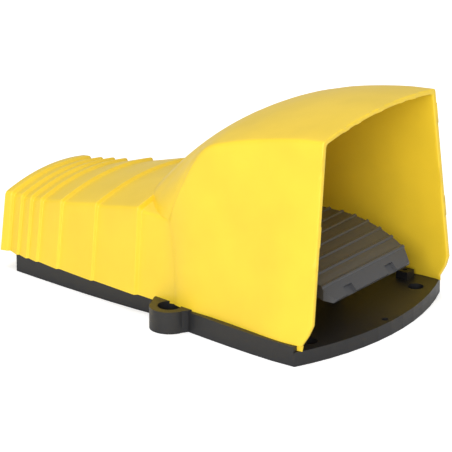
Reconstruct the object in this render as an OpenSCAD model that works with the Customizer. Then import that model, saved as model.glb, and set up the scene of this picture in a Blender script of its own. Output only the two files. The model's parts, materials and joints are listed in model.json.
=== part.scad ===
// Covered industrial foot switch: a base tray, a one-piece cover whose low
// stepped housing rises into a hood, and a sprung pedal inside the hood.
// Millimetres. X is across, the hood opens towards -Y, and Z = 0 is the floor.

/* [Overall] */
// Length from the bowed front edge of the base to the back of the cover
overall_l = 280; // [272:1:288]
// Height of the hood's crown at its front rim
hood_h = 153.8; // [146:0.2:160]

/* [Base] */
// Width of the base at its front corners
base_front_w = 165.2; // [163:0.2:168]
// Width of the base just behind the fixing lugs
base_waist_w = 120.6; // [118:0.2:122]
// Width of the base at its rear end
base_rear_w = 98.8; // [96:0.2:100]
// How far the front edge bows out ahead of the front corners
front_bow = 18.3; // [12:0.1:22]
// Top of the floor under the pedal
floor_z = 9.7; // [9:0.1:10.5]
// Top of the ledge that the cover's rear part stands on
ledge_z = 11.6; // [11.2:0.1:12.2]
// Top of the side strips outside the hood's foot
strip_z = 13.9; // [13:0.1:14.4]
// Distance from the base's rear end to the back of the cover
rear_overhang = 12.6; // [10:0.2:16]

/* [Fixing holes] */
// Distance between the two lug holes
lug_pitch = 145.4; // [144:0.2:148]
// Distance of the lug holes ahead of the middle of the length
lug_ahead = 15.7; // [13:0.1:18]
// Outer radius of a lug
lug_r = 13.2; // [12.4:0.1:14]
// Height of a lug
lug_z = 15; // [14:0.1:18]
// Diameter of the recess in a lug for the bolt head
lug_recess_d = 15.8; // [13:0.1:17]
// Diameter of the bolt hole through a lug
lug_hole_d = 8.6; // [6:0.1:10]
// Distance between the two holes in the floor
floor_hole_pitch = 120; // [112:0.5:124]
// Distance of the floor holes ahead of the middle of the length
floor_hole_ahead = 117.8; // [114:0.1:120]
// Diameter of the recess of a floor hole
floor_recess_d = 10.6; // [9:0.1:12]
// Diameter of the bolt hole in the floor
floor_hole_d = 6.6; // [4.5:0.1:8]

/* [Cover] */
// Wall thickness of the cover
wall = 3.4; // [3:0.1:4]
// Width of the hood's front rim face
rim_wall = 4; // [3.6:0.1:4.8]
// Width of the hood across its top corners at the front rim
hood_top_w = 126; // [122:0.5:130]
// Rise of the hood's crown over its top corners
hood_crown = 5.3; // [3:0.1:8]
// Radius of the cover's long top edges
edge_r = 2.4; // [1.5:0.1:3.5]
// Depth of the rear steps
step_d = 1.7; // [1:0.1:2.2]
// Depth of the front step, beside the hood
front_step_d = 2.5; // [1.8:0.1:3.2]
// Diameter of the recesses over the cover screws
well_d = 9; // [8.4:0.1:10]

/* [Pedal] */
// Width of the pedal
pedal_w = 92; // [84:0.5:98]
// Height of the pedal's flat top
pedal_z = 55.6; // [54:0.1:58]
// Wall thickness of the pedal
pedal_wall = 3.2; // [2.6:0.1:4]
// Distance between the pedal's cross ribs
rib_pitch = 10.15; // [8:0.05:12]
// Height of a cross rib
rib_h = 0.9; // [0.5:0.1:1.5]
// Travel of the pedal in degrees
pedal_travel = 8.5; // [6:0.1:9]

/* [Hinge] */
// Height of the hinge pin
hinge_z = 37; // [36:0.1:39]
// Diameter of the hinge pin
pin_d = 8; // [6:0.1:9]
// Wall of a hinge bush
bush_wall = 1.5; // [1:0.1:2]

/* [Contacts] */
// Distance of the plungers below the hinge pin
plunger_drop = 16; // [15:0.1:17]
// Distance between the two plungers
plunger_pitch = 32; // [30:0.5:36]
// Diameter of a plunger
plunger_d = 6; // [5:0.1:7]
// Width of a contact block
block_w = 24; // [20:0.5:26]
// Length of a contact block
block_l = 38; // [32:0.5:44]
// Height of a contact block
block_h = 25; // [20:0.5:27]

/* [Cable entries] */
// Distance between the two cable entries
entry_pitch = 44; // [36:0.5:46]
// Height of the cable entries
entry_z = 31; // [29:0.5:33]
// Diameter of a cable entry
entry_d = 20; // [16:0.5:20.5]

/* [Hidden] */

$fn = 48;
fit = 0.05; // radial clearance of a running fit
seat = 0.1; // gap between faces that are only set down on each other
front_y = -overall_l / 2;
rear_y = overall_l / 2;
corner_y = front_y + front_bow;
base_rear_y = rear_y - rear_overhang;
lug_y = -lug_ahead;
waist_y = 10; // where the base is narrowest beside the lugs
rear_cut = 1; // bevel of the base's rear corners

function mix(a, b, t) = a + (b - a) * t;
function bez(a, b, c, d, t) =
    pow(1 - t, 3) * a + 3 * pow(1 - t, 2) * t * b + 3 * (1 - t) * t * t * c + pow(t, 3) * d;

// ---- Base outline, half widths ----
side_power = 1.5; // how late the long sides curve in
front_in = 9.4; // how far a side has come in at the lugs
function front_half(y) = base_front_w / 2 + 0.5
    - (front_in + 4) * pow(max(y - corner_y - 1, 0) / (lug_y - corner_y), side_power);
function rear_half(y) = base_waist_w / 2
    - (base_waist_w - base_rear_w) / 2 * pow(max(y - waist_y, 0) / (base_rear_y - waist_y), side_power);

side_n = 6;
front_n = 12;
bow_r = (base_front_w * base_front_w / 4 + front_bow * front_bow) / (2 * front_bow);
bow_a = asin(base_front_w / 2 / bow_r);
function bow(inset) = [for (i = [0:front_n])
    let (a = mix(-bow_a, bow_a, i / front_n))
    [(bow_r - inset) * sin(a), front_y + bow_r - (bow_r - inset) * cos(a)]];
function right_side(inset) = concat(
    [for (i = [1:side_n]) let (y = mix(corner_y, lug_y, i / side_n)) [front_half(y) - inset, y]],
    [for (i = [0:side_n]) let (y = mix(waist_y, base_rear_y - rear_cut, i / side_n)) [rear_half(y) - inset, y]]);
function flip(points) = [for (i = [len(points) - 1:-1:0]) [-points[i][0], points[i][1]]];
function base_outline(inset) = concat(bow(inset), right_side(inset),
    [[base_rear_w / 2 - rear_cut, base_rear_y - inset], [rear_cut - base_rear_w / 2, base_rear_y - inset]],
    flip(right_side(inset)));

// ---- Cover, half sections ----
// One row for each step edge of the rear housing: [y, half width at the foot, half width at
// the top corner, height of the top corner, crown above it].
step_at = [134.5, 125.3, 116.4, 107.1, 88.3, 57.1, 18.9];
foot_at = [48.7, 51.1, 52.7, 54.0, 56.7, 60.5, 64.7];
corner_at = [43.8, 45.1, 46.6, 48.0, 51.0, 54.8, 60.4];
height_at = [51.8, 52.6, 53.8, 54.9, 58.4, 64.2, 71.5];
crown_at = [5.2, 5.2, 5.3, 5.5, 5.8, 6.3, 7];
rear_row = [rear_y, 49.9, 44.1, 51.3, 5.2];
waist_row = [-15, 66.8, 61, 68.5, 6];
step_n = len(step_at);
function depth(i) = i == step_n - 1 ? front_step_d : step_d;
function high_row(i) = [step_at[i], foot_at[i], corner_at[i], height_at[i], crown_at[i]];
step_share = [0.75, 0.8, 1, 0.6, 0]; // run of a step, then how deep it is at foot, corner and roof
function low_row(i) = high_row(i) - depth(i) * step_share;
housing = concat([rear_row], [for (i = [0:step_n - 1]) each [high_row(i), low_row(i)]], [waist_row]);
// A row of the housing at any distance y, between its step edges
function column(rows, c) = [for (r = rows) [r[0], r[c]]];
function row_at(rows, y) = [y, for (c = [1:len(rows[0]) - 1]) lookup(y, column(rows, c))];
function roof_z(y, x) = let (r = row_at(housing, y)) r[3] + r[4] * (1 - pow(min(x / r[2], 1), 2));

// Rows of the hood ahead of its shoulder
shoulder_y = -46;
top_half = hood_top_w / 2;
rim_top_z = hood_h - hood_crown;
hood = [
    [shoulder_y, 71.6, top_half + 3.3, rim_top_z - 18.5, 7.0],
    [-52.6, 72.4, top_half + 2.9, rim_top_z - 16.3, 7.1],
    [-63, 73.8, top_half + 2.5, rim_top_z - 12.9, 7.2],
    [-74.2, 75.6, top_half + 2.1, rim_top_z - 9.9, 7.1],
    [-85.1, 77.4, top_half + 1.6, rim_top_z - 7.3, 6.9],
    [-96.6, 79.3, top_half + 1, rim_top_z - 4.8, 6.5],
    [-111.6, 80.9, top_half + 0.4, rim_top_z - 2.1, 5.9],
    [-121, 80.9, top_half + 0.2, rim_top_z - 1, 5.6],
    [-129.9, 80.2, top_half, rim_top_z, hood_crown]];

up_n = 7; // columns up a side wall
over_n = 7; // columns from a top corner to the crown
foot_z = 12; // foot of the rear housing
hood_foot_z = strip_z + seat;
chin_z = 25.9; // where the hood's front edge starts to slope back

// Half section from the foot up and over to the crown, as [x, z]
function up_t(i) = i == 0 ? 0 : mix(0.088, 0.96, (i - 1) / (up_n - 1));
function half(r, foot, inset) =
    let (b = [r[1] - inset, foot], c = [r[2] - inset, r[3] - inset * 0.9],
        p = c + edge_r * (b - c) / norm(b - c), q = c + [-edge_r, edge_r * 0.2])
    concat([for (i = [0:up_n]) mix(b, p, min(up_t(i) / 0.96, 1))],
        [0.25 * p + 0.5 * c + 0.25 * q],
        [for (i = [0:over_n]) let (x = q[0] * (1 - i / over_n))
            [x, c[1] + r[4] * (1 - pow(x / c[0], 2))]]);

// The valley where the hood's rounded back meets the housing
valley_rear = 32.5;
valley_mid = -17;
valley_a = 62.5;
valley_c = 61; // half width where the valley turns down the side
valley_cz = 68.5;
valley_foot_y = -14.9;
function valley_y(x) = valley_mid
    + (valley_rear - valley_mid) * sqrt(1 - pow(min(x, valley_c) / valley_a, 2));
function valley_side_y(z) =
    mix(valley_foot_y, valley_y(valley_c), pow(max(z - foot_z, 0) / (valley_cz - foot_z), 2));
function valley(inset) = let (h = half([0, waist_row[1], valley_c, valley_cz, waist_row[4]],
        hood_foot_z, 0))
    [for (k = [0:len(h) - 1]) let (x = h[k][0], z = h[k][1])
        k <= up_n ? [x - inset * 0.96, valley_side_y(z) - inset * 0.45, z]
        : k == up_n + 1 ? [x - inset * 0.8, valley_y(x) - inset * 0.3, z - inset * 0.8]
        : let (y = valley_y(x)) [x - inset * 0.5 * x / valley_c, y - inset * 0.45, roof_z(y, x) - inset]];

// A section across the housing; near the hood its roof stops at the valley
function housing_station(r, v, inset, back) =
    let (h = half(r, foot_z, inset))
    [for (k = [0:len(h) - 1]) let (y = max(r[0], k > up_n ? v[k][1] + back : r[0]))
        [h[k][0], y, y > r[0] ? roof_z(y, h[k][0]) - inset : h[k][1]]];

// The wall grows thicker from two sections behind the front rim
function wall_at(i) = lookup(i, [[len(hood) - 3, wall], [len(hood) - 1, rim_wall]]);
// A section across the hood, leaned back below its chin at the front rim
function lean(z) = z < chin_z ? -2.4 + 10 * (chin_z - z) / (chin_z - floor_z)
    : -2.4 + 2.4 * min((z - chin_z) / (rim_top_z - chin_z), 1);
function hood_station(r, inset, rim) =
    let (h = half(r, hood_foot_z, inset))
    [for (k = [0:len(h) - 1]) [h[k][0],
        r[0] + (rim ? (k > up_n ? -0.3 * (k - up_n) / (over_n + 2) : lean(h[k][1])) : 0), h[k][1]]];

// A section of the hood's rounded back, between the shoulder and the valley
shoulder_n = 6;
function shoulder_station(s, v, t) =
    [for (k = [0:len(v) - 1])
        let (f = min(up_t(min(k, up_n)), 1), g = max(k - up_n, 0) / (over_n + 2),
            out = k <= up_n ? mix([-0.07, 1, 0], [0, 1, -0.36], f) : [0, 1, -0.36],
            reach = k <= up_n ? mix(14, 18, f) : mix(18, 27, g),
            up = k <= up_n ? mix([3.4, -5, 0], [4, -6, 14], f)
                : mix([3, -7, 15], [0, -19, 20], pow(g, 0.6)))
        bez(s[k], s[k] + out * reach, v[k] + up, v[k], t)];

// Every section of the cover's skin, from the back of the housing to the front rim
function skin(inset) =
    let (v = valley(inset), rows = [for (i = [0:len(housing) - 2]) housing[i]],
        s = hood_station(hood[0], inset, false), flush = inset > 0 ? 1 : 0)
    concat(
        [for (i = [0:len(rows) - 1]) let (r = rows[i],
                even_r = flush && i > 0 ? low_row(floor((i - 1) / 2)) : r,
                y = i == 0 ? r[0] - inset : r[0])
            housing_station([y, even_r[1], even_r[2], even_r[3], even_r[4]], v, inset,
                0.4 * (len(rows) - i))],
        [v],
        [for (i = [shoulder_n - 1:-1:1]) shoulder_station(s, v, i == 0 ? 0 : i / shoulder_n)],
        [for (i = [0:len(hood) - 1])
            hood_station(hood[i], inset == wall ? wall_at(i) : inset, i == len(hood) - 1)]);

function both(h) = concat(h, [for (i = [len(h) - 2:-1:0]) [-h[i][0], h[i][1], h[i][2]]]);

// The foot turns in: a flat seat round the housing, a tongue beside the hood's strips
seat_w = 4;
seat_t = 2.6;
tongue_in = 1.8;
tongue_z = floor_z + 2 * seat;
tip_back = lean(tongue_z) - lean(hood_foot_z); // the slope under the chin runs on down the tongue
function turn(y) = lookup(y, [[-32, 0], [-6, 1]]);
function foot_ring(outer, n) =
    let (p = outer[n][0], y = min(p[1], base_rear_y - 1.6 - 0.3 * n), t = turn(y),
        x = mix(p[0] - tongue_in, min(rear_half(max(y, waist_y)), p[0]) - seat_w, t))
    [[x, y, p[2]], [x, y + (n == len(outer) - 1 ? tip_back : 0), mix(tongue_z, p[2] + seat_t, t)]];

module cover_skin() {
    outer = [for (h = skin(0)) both(h)];
    inner_raw = [for (h = skin(wall)) both(h)];
    n = len(outer) - 1;
    w = len(outer[0]);
    rings = [for (i = [0:n]) foot_ring(outer, i)];
    // The inner wall's foot meets the turned-in foot
    inner = [for (i = [0:n]) let (t = turn(inner_raw[i][0][1]), z = mix(tongue_z, foot_z + seat_t, t))
        [for (k = [0:w - 1]) let (p = inner_raw[i][k])
            k == 0 || k == w - 1
                ? [sign(p[0]) * (abs(p[0]) - mix(2, 0, t)), p[1] + (i == n ? tip_back : 0), z]
                : p]];
    edge = [for (i = [0:n]) [rings[i][0], rings[i][1],
        [-rings[i][0][0], rings[i][0][1], rings[i][0][2]],
        [-rings[i][1][0], rings[i][1][1], rings[i][1][2]]]];
    points = concat([for (s = outer) each s], [for (s = inner) each s], [for (e = edge) each e]);
    function o(i, k) = i * w + k;
    function q(i, k) = (n + 1 + i) * w + k;
    function e(i, k) = 2 * (n + 1) * w + 4 * i + k;
    m = w - 1;
    faces = concat(
        [[for (k = [0:m]) o(0, k)]],
        [[for (k = [m:-1:0]) q(0, k)]],
        [for (i = [0:n - 1], k = [0:m - 1]) each [
            [o(i, k), o(i + 1, k), o(i + 1, k + 1)], [o(i, k), o(i + 1, k + 1), o(i, k + 1)],
            [q(i, k), q(i + 1, k + 1), q(i + 1, k)], [q(i, k), q(i, k + 1), q(i + 1, k + 1)]]],
        [for (i = [0:n - 1]) each [
            [o(i, 0), e(i, 0), e(i + 1, 0)], [o(i, 0), e(i + 1, 0), o(i + 1, 0)],
            [e(i, 0), e(i, 1), e(i + 1, 1)], [e(i, 0), e(i + 1, 1), e(i + 1, 0)],
            [e(i, 1), q(i, 0), q(i + 1, 0)], [e(i, 1), q(i + 1, 0), e(i + 1, 1)],
            [o(i, m), e(i + 1, 2), e(i, 2)], [o(i, m), o(i + 1, m), e(i + 1, 2)],
            [e(i, 2), e(i + 1, 3), e(i, 3)], [e(i, 2), e(i + 1, 2), e(i + 1, 3)],
            [e(i, 3), q(i + 1, m), q(i, m)], [e(i, 3), e(i + 1, 3), q(i + 1, m)]]],
        [[o(0, 0), o(0, m), e(0, 2)], [o(0, 0), e(0, 2), e(0, 0)],
            [e(0, 0), e(0, 2), e(0, 3)], [e(0, 0), e(0, 3), e(0, 1)],
            [e(0, 1), e(0, 3), q(0, m)], [e(0, 1), q(0, m), q(0, 0)]],
        [for (k = [0:m - 1]) each [[o(n, k), q(n, k), q(n, k + 1)], [o(n, k), q(n, k + 1), o(n, k + 1)]]],
        [[o(n, 0), e(n, 0), e(n, 1)], [o(n, 0), e(n, 1), q(n, 0)],
            [o(n, m), e(n, 3), e(n, 2)], [o(n, m), q(n, m), e(n, 3)]]);
    polyhedron(points, faces, convexity = 10);
}
// Solid of the cover's middle surface, to trim what grows inside the cover
module cover_core() {
    s = [for (h = skin(wall / 2)) both(h)];
    n = len(s) - 1;
    w = len(s[0]);
    polyhedron([for (r = s) each r],
        concat([[for (k = [0:w - 1]) k]], [[for (k = [w - 1:-1:0]) n * w + k]],
            [for (i = [0:n - 1], k = [0:w - 1]) let (a = i * w + k, b = i * w + (k + 1) % w) each [
                [a, a + w, b + w], [a, b + w, b]]]), convexity = 10);
}

module both_sides() {
    children();
    mirror([1, 0, 0])
        children();
}
// Extrudes a profile drawn in [y, z] along X, centred
module across(w) {
    translate([-w / 2, 0, 0])
        rotate([90, 0, 90])
            linear_extrude(w)
                children();
}
module along_y(d, l) {
    rotate([-90, 0, 0])
        cylinder(d = d, h = l);
}

// ---- Cover screws: a well in the roof, a boss under it and a pillar on the base ----
well_at = [[0, 128.3, 20], [-48, 46, 22], [48, 46, 22]]; // x, y and depth of each well
boss_wall = 2.6;
screw_d = 4.2;
screw_head = 3;
screw_bite = 12; // length of a cover screw in its pillar
boss_floor = 3.5; // material under a screw head
pillar_r = 4.6;
function head_z(p) = roof_z(p[1], abs(p[0])) - p[2];
function boss_z(p) = head_z(p) - boss_floor;

// ---- Rear end: two cable entries with a seat for a sealing ring ----
entry_l = 9;
entry_seat_d = entry_d + 5.4;
entry_seat_l = 3.6;
entry_y = rear_y - entry_l;

// ---- Bulkhead behind the pedal, half on the base and half on the cover ----
wall_y = 13;
bulkhead_t = 3;
bulkhead_z = 46;
seal_t = 1.3;

module cover() {
    color("gold")
        difference() {
            resize([0, 0, 0])
                union() {
                    cover_skin();
                    intersection() {
                        cover_core();
                        union() {
                            for (p = well_at)
                                translate([p[0], p[1], boss_z(p)])
                                    cylinder(d = well_d + 2 * boss_wall, h = 60);
                            translate([-rear_y, wall_y, bulkhead_z + seal_t + seat])
                                cube([2 * rear_y, bulkhead_t, 80]);
                            for (x = [-1, 1] * entry_pitch / 2)
                                translate([x, entry_y, entry_z])
                                    along_y(entry_seat_d + 4, entry_l);
                        }
                    }
                }
            for (p = well_at)
                translate([p[0], p[1], head_z(p)]) {
                    cylinder(d = well_d, h = p[2] + 9);
                    translate([0, 0, -boss_floor - 1])
                        cylinder(d = screw_d + 0.6, h = boss_floor + 2);
                }
            translate([0, well_at[0][1], foot_z - 1])
                cylinder(r = pillar_r + 0.5, h = seat_t + 2);
            lug_cutouts();
            for (x = [-1, 1] * entry_pitch / 2)
                translate([x, entry_y - 1, entry_z]) {
                    along_y(entry_d, entry_l + 2);
                    translate([0, entry_l + 1 - entry_seat_l, 0])
                        along_y(entry_seat_d, entry_seat_l + 1);
                }
        }
}

module cover_screws() {
    color("silver")
        for (p = well_at)
            translate([p[0], p[1], head_z(p) + seat])
                difference() {
                    union() {
                        cylinder(d = well_d - 0.8, h = screw_head);
                        translate([0, 0, -boss_floor - screw_bite])
                            cylinder(d = screw_d, h = boss_floor + screw_bite + 0.5);
                    }
                    translate([0, 0, screw_head / 2])
                        cylinder(d = 4.4, h = screw_head, $fn = 6);
                }
}

plug_t = entry_seat_l - 1.2;
module entry_plug() {
    color("#1c1c1e")
        translate([entry_pitch / 2, 0, entry_z])
            difference() {
                union() {
                    translate([0, entry_y + 1, 0])
                        along_y(entry_d - 0.3, entry_l - entry_seat_l + 0.5);
                    translate([0, rear_y - seat - plug_t, 0])
                        along_y(entry_seat_d - 0.6, plug_t);
                }
                translate([-entry_d / 4, rear_y - 1.4, -1])
                    cube([entry_d / 2, 2, 2]);
                translate([0, entry_y, 0])
                    along_y(entry_d - 4, entry_l - entry_seat_l);
            }
}
module entry_seal() {
    color("dimgray")
        translate([entry_pitch / 2, rear_y - entry_seat_l, entry_z])
            difference() {
                along_y(entry_seat_d - 0.6, entry_seat_l - plug_t - seat);
                translate([0, -1, 0])
                    along_y(entry_d + 0.2, entry_seat_l);
            }
}

// ---- Base ----
ledge_in = 7; // width of the ledge round the contact chamber
groove_in = [1.4, 3.8];
groove_z = ledge_z - 1.6;
chamber_z = 4;
hinge_y = -2;
ear_x = 30;
ear_t = 6;
plunger_z = hinge_z - plunger_drop;
seal_r = plunger_d / 2 + 2.2;

function rear_side(inset, from) = [for (i = [0:side_n])
    let (y = mix(from, base_rear_y - rear_cut - inset, i / side_n)) [rear_half(y) - inset, y]];
module rear_part(z0, z1, inset, from = wall_y) {
    corner = base_rear_w / 2 - rear_cut - inset;
    translate([0, 0, z0])
        linear_extrude(z1 - z0)
            polygon(concat(rear_side(inset, from),
                [[corner, base_rear_y - inset], [-corner, base_rear_y - inset]],
                flip(rear_side(inset, from))));
}
// Half width of the cover's foot
foot_line = [for (h = skin(0)) [h[0][1], h[0][0]]];
function foot_half(y) = lookup(y, foot_line);
lug_back = 17.2; // from a lug's hole to the far ends of its straight flanks
// Side strips outside the hood's foot, ahead of the lugs
strip_from = corner_y + 0.5;
strip_to = lug_y - lug_back + 2;
module side_strips() {
    rows = [for (i = [0:side_n]) mix(strip_from, strip_to, i / side_n)];
    both_sides()
        translate([0, 0, floor_z - 1])
            linear_extrude(strip_z - floor_z + 1)
                polygon(concat([for (y = rows) [front_half(y), y]],
                    [for (i = [side_n:-1:0]) [foot_half(rows[i]) - tongue_in + 0.4, rows[i]]]));
}
lug_in = base_waist_w / 2 - 2;
lug_gap = 1; // between a lug's top and the cut-out in the cover's foot
function lug_rim(a) = [lug_pitch / 2, lug_y] + (lug_r - 0.4) * [cos(a), sin(a)];
module lug_plan() {
    translate([lug_pitch / 2, lug_y])
        circle(r = lug_r);
    polygon([[lug_in, lug_y + lug_back], [foot_half(lug_y) - 1, lug_y + lug_back], lug_rim(67),
        lug_rim(-64), [foot_half(lug_y) + 2, lug_y - lug_back], [lug_in, lug_y - lug_back]]);
}
module lugs() {
    both_sides()
        linear_extrude(lug_z)
            lug_plan();
}
// What the cover's foot leaves free for the lugs
module lug_cutouts() {
    both_sides()
        translate([lug_in - lug_gap, lug_y - lug_back - lug_gap, 0])
            cube([lug_pitch / 2 - lug_in, 2 * (lug_back + lug_gap), lug_z + lug_gap]);
}
module ears() {
    both_sides()
        translate([ear_x + ear_t / 2, 0, 0])
            across(ear_t)
                difference() {
                    union() {
                        translate([hinge_y, hinge_z])
                            circle(r = pin_d / 2 + 4);
                        polygon([[hinge_y - 16, floor_z - 1], [hinge_y - pin_d / 2 - 2.4, hinge_z + 3],
                            [hinge_y + pin_d / 2 + 2.4, hinge_z + 3], [wall_y + 1, floor_z - 1]]);
                    }
                    translate([hinge_y, hinge_z])
                        circle(r = pin_d / 2 + fit);
                }
}
ledge_from = 0;
inner_row = row_at(housing, wall_y);
function inside(z) = mix(inner_row[1], inner_row[2], (z - foot_z) / (inner_row[3] - foot_z)) - wall - 0.5;
seat_inner = rear_half(wall_y) - seat_w - 0.5;
module bulkhead() {
    edge = [[seat_inner, 1], [seat_inner, foot_z + seat_t + 0.4], [inside(foot_z + 4), foot_z + 4],
        [inside(bulkhead_z), bulkhead_z]];
    translate([0, wall_y + bulkhead_t, 0])
        rotate([90, 0, 0])
            linear_extrude(bulkhead_t)
                polygon(concat(edge, flip(edge)));
}
module pillars() {
    for (p = well_at)
        translate([p[0], p[1], chamber_z - 1])
            cylinder(r = pillar_r, h = boss_z(p) - seat - chamber_z + 1);
    translate([-pillar_r, base_rear_y - 4, 0])
        cube([2 * pillar_r, well_at[0][1] - base_rear_y + 4, ledge_z]);
    translate([0, well_at[0][1], 0])
        cylinder(r = pillar_r, h = ledge_z);
}
spring_at = [22, -34];
spring_r = 5.5;
wire_r = 0.8;
spring_turns = 6.5;
spring_z = floor_z + 0.8;
stop_at = [33, -72];
stop_r = 5;
stop_t = 5;
// Highest top of a stop that the pressed pedal's rib just clears
rib_drop = 8;
stop_z = hinge_z - (hinge_y - stop_at[1] + stop_r) * sin(pedal_travel)
    + (pedal_z - pedal_wall - rib_drop - hinge_z) * cos(pedal_travel) - 0.4;
module seats_and_stops() {
    both_sides() {
        translate([spring_at[0], spring_at[1], floor_z - 1])
            difference() {
                cylinder(r = spring_r + 3, h = 4.5);
                translate([0, 0, spring_z - floor_z + 1])
                    cylinder(r = spring_r + wire_r + 0.4, h = 5);
            }
        translate([stop_at[0], stop_at[1], floor_z - 1])
            cylinder(r = stop_r, h = stop_z - stop_t - floor_z + 1);
    }
}
front_hole_d = 4.5;
front_hole_in = 5.1; // from the middle of the bowed front edge
// Pockets under the floor, with ribs between them
pocket = [27, 29]; // pitch across and along
pocket_rib = 3;
pocket_mid = -50;
floor_t = 3.4;
module pockets() {
    for (i = [-2:1], j = [-1.5:0.5])
        translate([i * pocket[0] + pocket_rib / 2, pocket_mid + (j - 0.5) * pocket[1] + pocket_rib / 2, -1])
            cube([pocket[0] - pocket_rib, pocket[1] - pocket_rib, floor_z - floor_t + 1]);
}
block_x = plunger_pitch / 2;
block_y = wall_y + bulkhead_t + 0.3;
block_bolt = [8, 12]; // from a block's middle and its front
module base() {
    color("#1c1c1e")
        difference() {
            union() {
                linear_extrude(floor_z)
                    difference() {
                        polygon(base_outline(0));
                        translate([-60, wall_y + bulkhead_t])
                            square([120, 120]);
                    }
                difference() {
                    rear_part(0, ledge_z, 0, ledge_from);
                    rear_part(chamber_z, ledge_z + 1, ledge_in);
                    rear_part(floor_z, ledge_z + 1, ledge_in, ledge_from - 1);
                }
                side_strips();
                lugs();
                ears();
                bulkhead();
                pillars();
                seats_and_stops();
            }
            both_sides() {
                translate([lug_pitch / 2, lug_y, 0]) {
                    translate([0, 0, -1])
                        cylinder(d = lug_hole_d, h = lug_z);
                    translate([0, 0, 5])
                        cylinder(d = lug_recess_d, h = lug_z);
                }
                translate([floor_hole_pitch / 2, -floor_hole_ahead, 0]) {
                    translate([0, 0, -1])
                        cylinder(d = floor_hole_d, h = floor_z + 2);
                    translate([0, 0, floor_z - 4.5])
                        cylinder(d = floor_recess_d, h = floor_z);
                }
                translate([block_x, wall_y - 1, plunger_z])
                    along_y(2 * seal_r, bulkhead_t + 2);
                for (x = [-1, 1] * block_bolt[0])
                    translate([block_x + x, block_y + block_bolt[1], 1])
                        cylinder(d = 3.4, h = chamber_z);
            }
            translate([0, front_y + front_hole_in, -1])
                cylinder(d = front_hole_d, h = floor_z + 2);
            pockets();
            difference() {
                rear_part(groove_z, ledge_z + 1, groove_in[0]);
                rear_part(groove_z - 1, ledge_z + 2, groove_in[1]);
            }
            for (p = well_at)
                translate([p[0], p[1], boss_z(p) - screw_bite - 2])
                    cylinder(d = screw_d + 0.2, h = screw_bite + 3);
        }
}
module cover_gasket() {
    color("dimgray") {
        difference() {
            rear_part(groove_z, foot_z - 0.05, groove_in[0] + seat);
            rear_part(groove_z - 1, foot_z + 1, groove_in[1] - seat);
        }
        translate([0.4 - inside(bulkhead_z), wall_y, bulkhead_z])
            cube([2 * inside(bulkhead_z) - 0.8, bulkhead_t, seal_t]);
    }
}
clip = [8, 9, 5.4];
clip_y = -107.2;
module cover_clips() {
    color("#1c1c1e")
        both_sides()
            translate([foot_half(clip_y + clip[1]) - wall - 2.4 - clip[0], clip_y, floor_z])
                difference() {
                    cube(clip);
                    translate([clip[0] / 2, clip[1] / 2, clip[2] / 2])
                        cylinder(d = 3.2, h = clip[2]);
                }
}

// ---- Pedal ----
arc_y = -68.5; // where the flat top starts to curve down
arc_r = 92;
arc_end = 32; // degrees of curve before the lip
lip = [[-125.2, 33.4], [-124, 31.5]]; // outer and lower edges of the turned-down lip
lip_half = 31; // half width of the lip's straight front
lip_corner = [[3.8, 0.6], [0, 6.9]]; // corners beside it, in from the pedal's side and the lip
tail_y = 7.5;
skirt = 11;
pedal_rib_n = 7;
rib_r = 1.4;
function arc_point(r, a) = [arc_y - r * sin(a), pedal_z - arc_r + r * cos(a)];
module side_profile(inset, below) {
    polygon(concat([[tail_y - inset, pedal_z - inset]],
        [for (i = [0:8]) arc_point(arc_r - inset, arc_end * i / 8)],
        [[lip[0][0] + inset * 1.35, lip[0][1]], [lip[1][0] + inset * 1.35, lip[1][1] - below],
            [arc_y - 30, pedal_z - skirt - 6 - below], [arc_y, pedal_z - skirt - below],
            [tail_y - inset, pedal_z - skirt - below]]));
}
module plan(inset) {
    w = pedal_w / 2 - inset;
    right = concat([[w, tail_y + 1 - inset]],
        [for (p = [lip_corner[1], lip_corner[0]]) [w - p[0], lip[0][0] + p[1] + (p[0] > 0 ? inset : 0)]],
        [[lip_half - inset / 2, lip[0][0] - 1 + inset]]);
    polygon(concat(right, flip(right)));
}
module pedal_block(inset, below) {
    intersection() {
        across(pedal_w + 4)
            side_profile(inset, below);
        translate([0, 0, 5])
            linear_extrude(60)
                plan(inset);
    }
}
barrel_l = 2 * (ear_x - 1.2);
bush_r = pin_d / 2 + bush_wall;
barrel_r = bush_r + 2.6;
lever_z = hinge_z - barrel_r - 2.4; // underside of the lever's seat
lever_w = 48;
lever_from = hinge_y - 7;
lever_l = 12;
lever_bolt_y = hinge_y - 3.3;
module pedal_rib(s) {
    // s is the distance along the top from the lip's upper edge
    a = arc_end - s / arc_r * 180 / PI;
    p = a > 0 ? arc_point(arc_r - rib_r + rib_h, a) : [arc_y - a * PI / 180 * arc_r, pedal_z - rib_r + rib_h];
    translate([-pedal_w / 2 - 0.5, p[0], p[1]])
        rotate([0, 90, 0])
            cylinder(r = rib_r, h = pedal_w + 1, $fn = 24);
}
web_x = 10;
module pedal_webs() {
    under = pedal_z - pedal_wall;
    for (x = [-web_x, web_x])
        translate([x, 0, 0])
            across(3)
                polygon([[tail_y - 3, under + 1], [tail_y - 3, under - rib_drop],
                    [hinge_y + 5, hinge_z], [hinge_y - 7, hinge_z], [hinge_y - 22, under - rib_drop],
                    [arc_y, under - rib_drop], [-108, 36], [-116, 36], [-112, 42], [-90, 49],
                    [arc_y, under + 1]]);
    for (x = [-1, 1] * stop_at[0])
        translate([x, 0, 0])
            across(3)
                polygon([[-26, under + 1], [-26, under - rib_drop], [-84, under - rib_drop], [-90, under - 4],
                    [-84, under - 1], [arc_y, under + 1]]);
    for (x = [-24, 24])
        translate([x, 0, 0])
            across(3)
                polygon([[tail_y - 3, under + 1], [hinge_y + 5, hinge_z + 2], [hinge_y - 5, hinge_z + 2],
                    [hinge_y - 12, under + 1]]);
    both_sides()
        translate([spring_at[0], spring_at[1], under - 3])
            cylinder(r = spring_r - wire_r - 0.6, h = 4);
}
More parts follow.
